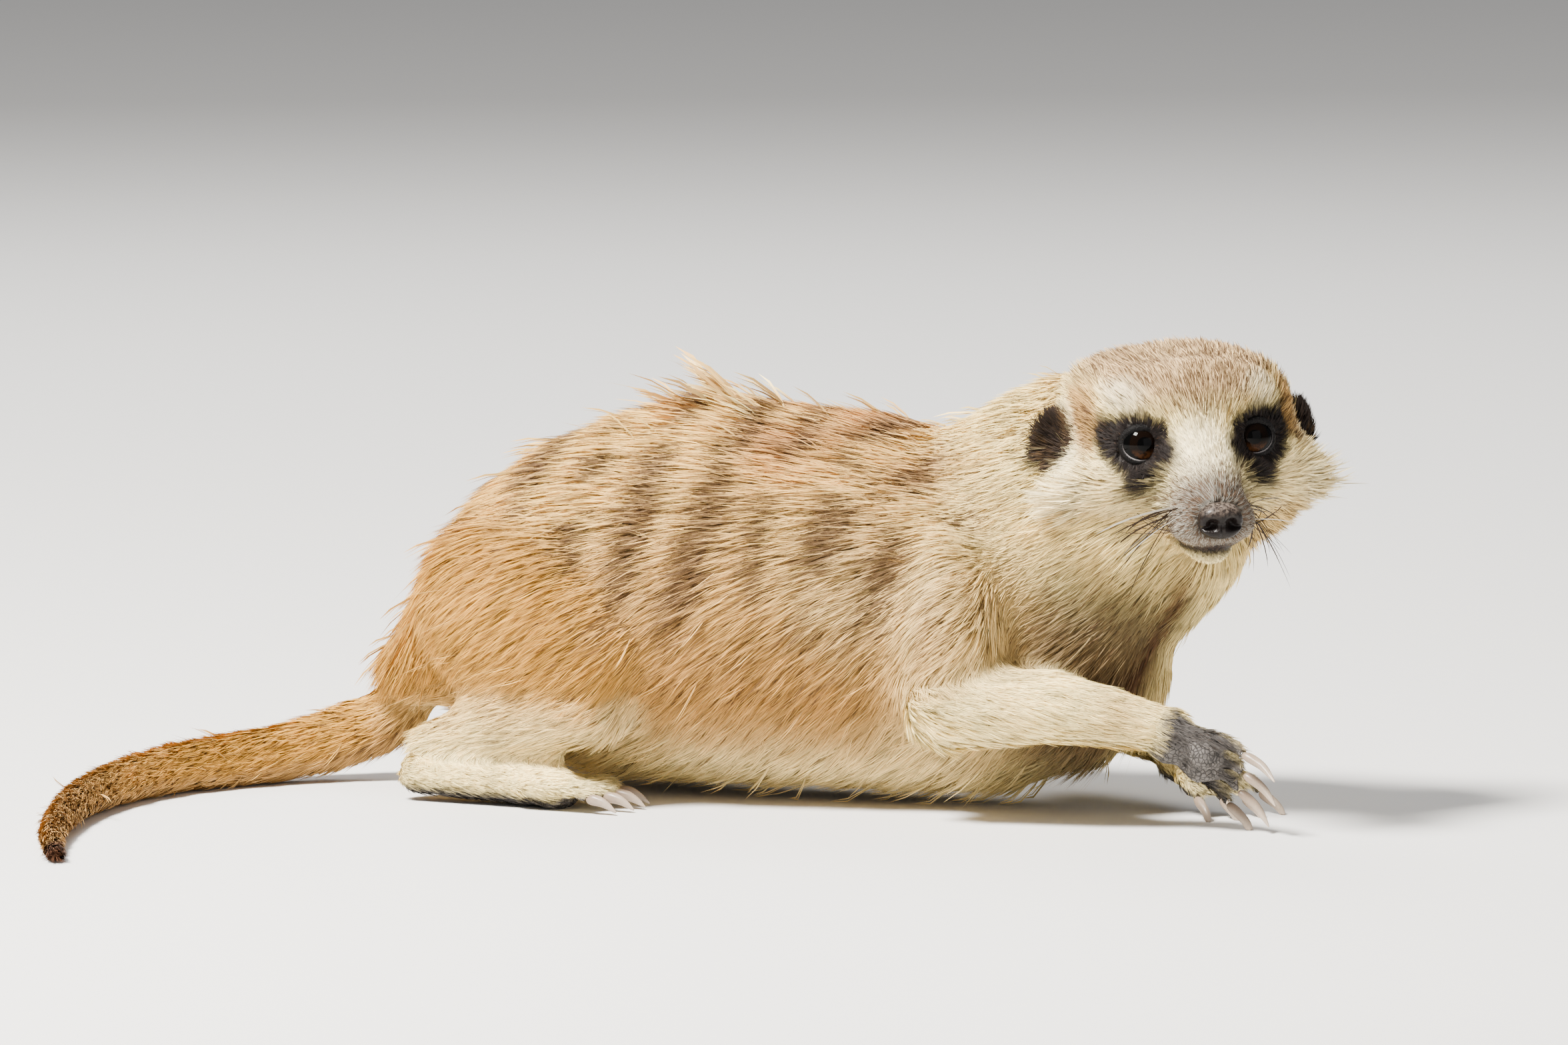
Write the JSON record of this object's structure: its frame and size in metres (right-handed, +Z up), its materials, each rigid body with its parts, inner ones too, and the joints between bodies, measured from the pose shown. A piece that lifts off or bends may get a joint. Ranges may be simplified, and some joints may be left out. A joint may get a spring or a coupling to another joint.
{
  "type": "meerkat",
  "caption": "Life-size still model of a meerkat lying on its belly, head raised and turned to its right, forelegs stretched forward, tail swept round on the floor.",
  "frame": {"origin": "bottom centre of the bounding box, on the floor under the belly", "axes": "+X forward along the trunk, from rump to chest; +Y to the animal's left; +Z up"},
  "size_m": [0.2494, 0.2006, 0.1001],
  "materials": {
    "coat_buff": "banded buff fur",
    "coat_pale": "pale yellow fur",
    "coat_tan": "golden tan fur",
    "coat_dark": "near-black fur",
    "claw_horn": "satin horn",
    "nose_skin": "moist dark skin",
    "eye_wet": "wet, dark brown"
  },
  "bodies": {
    "root": {"claw_fore_left_1": "claw_horn", "claw_fore_left_2": "claw_horn", "claw_fore_left_3": "claw_horn", "claw_fore_left_4": "claw_horn", "claw_fore_right_1": "claw_horn", "claw_fore_right_2": "claw_horn", "claw_fore_right_3": "claw_horn", "claw_fore_right_4": "claw_horn", "claw_hind_left_1": "claw_horn", "claw_hind_left_2": "claw_horn", "claw_hind_left_3": "claw_horn", "claw_hind_left_4": "claw_horn", "claw_hind_right_1": "claw_horn", "claw_hind_right_2": "claw_horn", "claw_hind_right_3": "claw_horn", "claw_hind_right_4": "claw_horn", "ear_left": "coat_dark", "ear_right": "coat_dark", "eye_left": "eye_wet", "eye_right": "eye_wet", "forearm_left": "coat_pale", "forearm_right": "coat_pale", "head": "coat_pale", "neck": "coat_pale", "nose": "nose_skin", "paw_fore_left": "coat_pale", "paw_fore_right": "coat_pale", "paw_hind_left": "coat_pale", "paw_hind_right": "coat_pale", "shank_left": "coat_pale", "shank_right": "coat_pale", "tail_lower": "coat_tan", "tail_root": "coat_tan", "tail_tip": "coat_dark", "tail_upper": "coat_tan", "thigh_left": "coat_buff", "thigh_right": "coat_buff", "trunk": "coat_buff", "upper_arm_left": "coat_buff", "upper_arm_right": "coat_buff"}
  },
  "joints": []
}
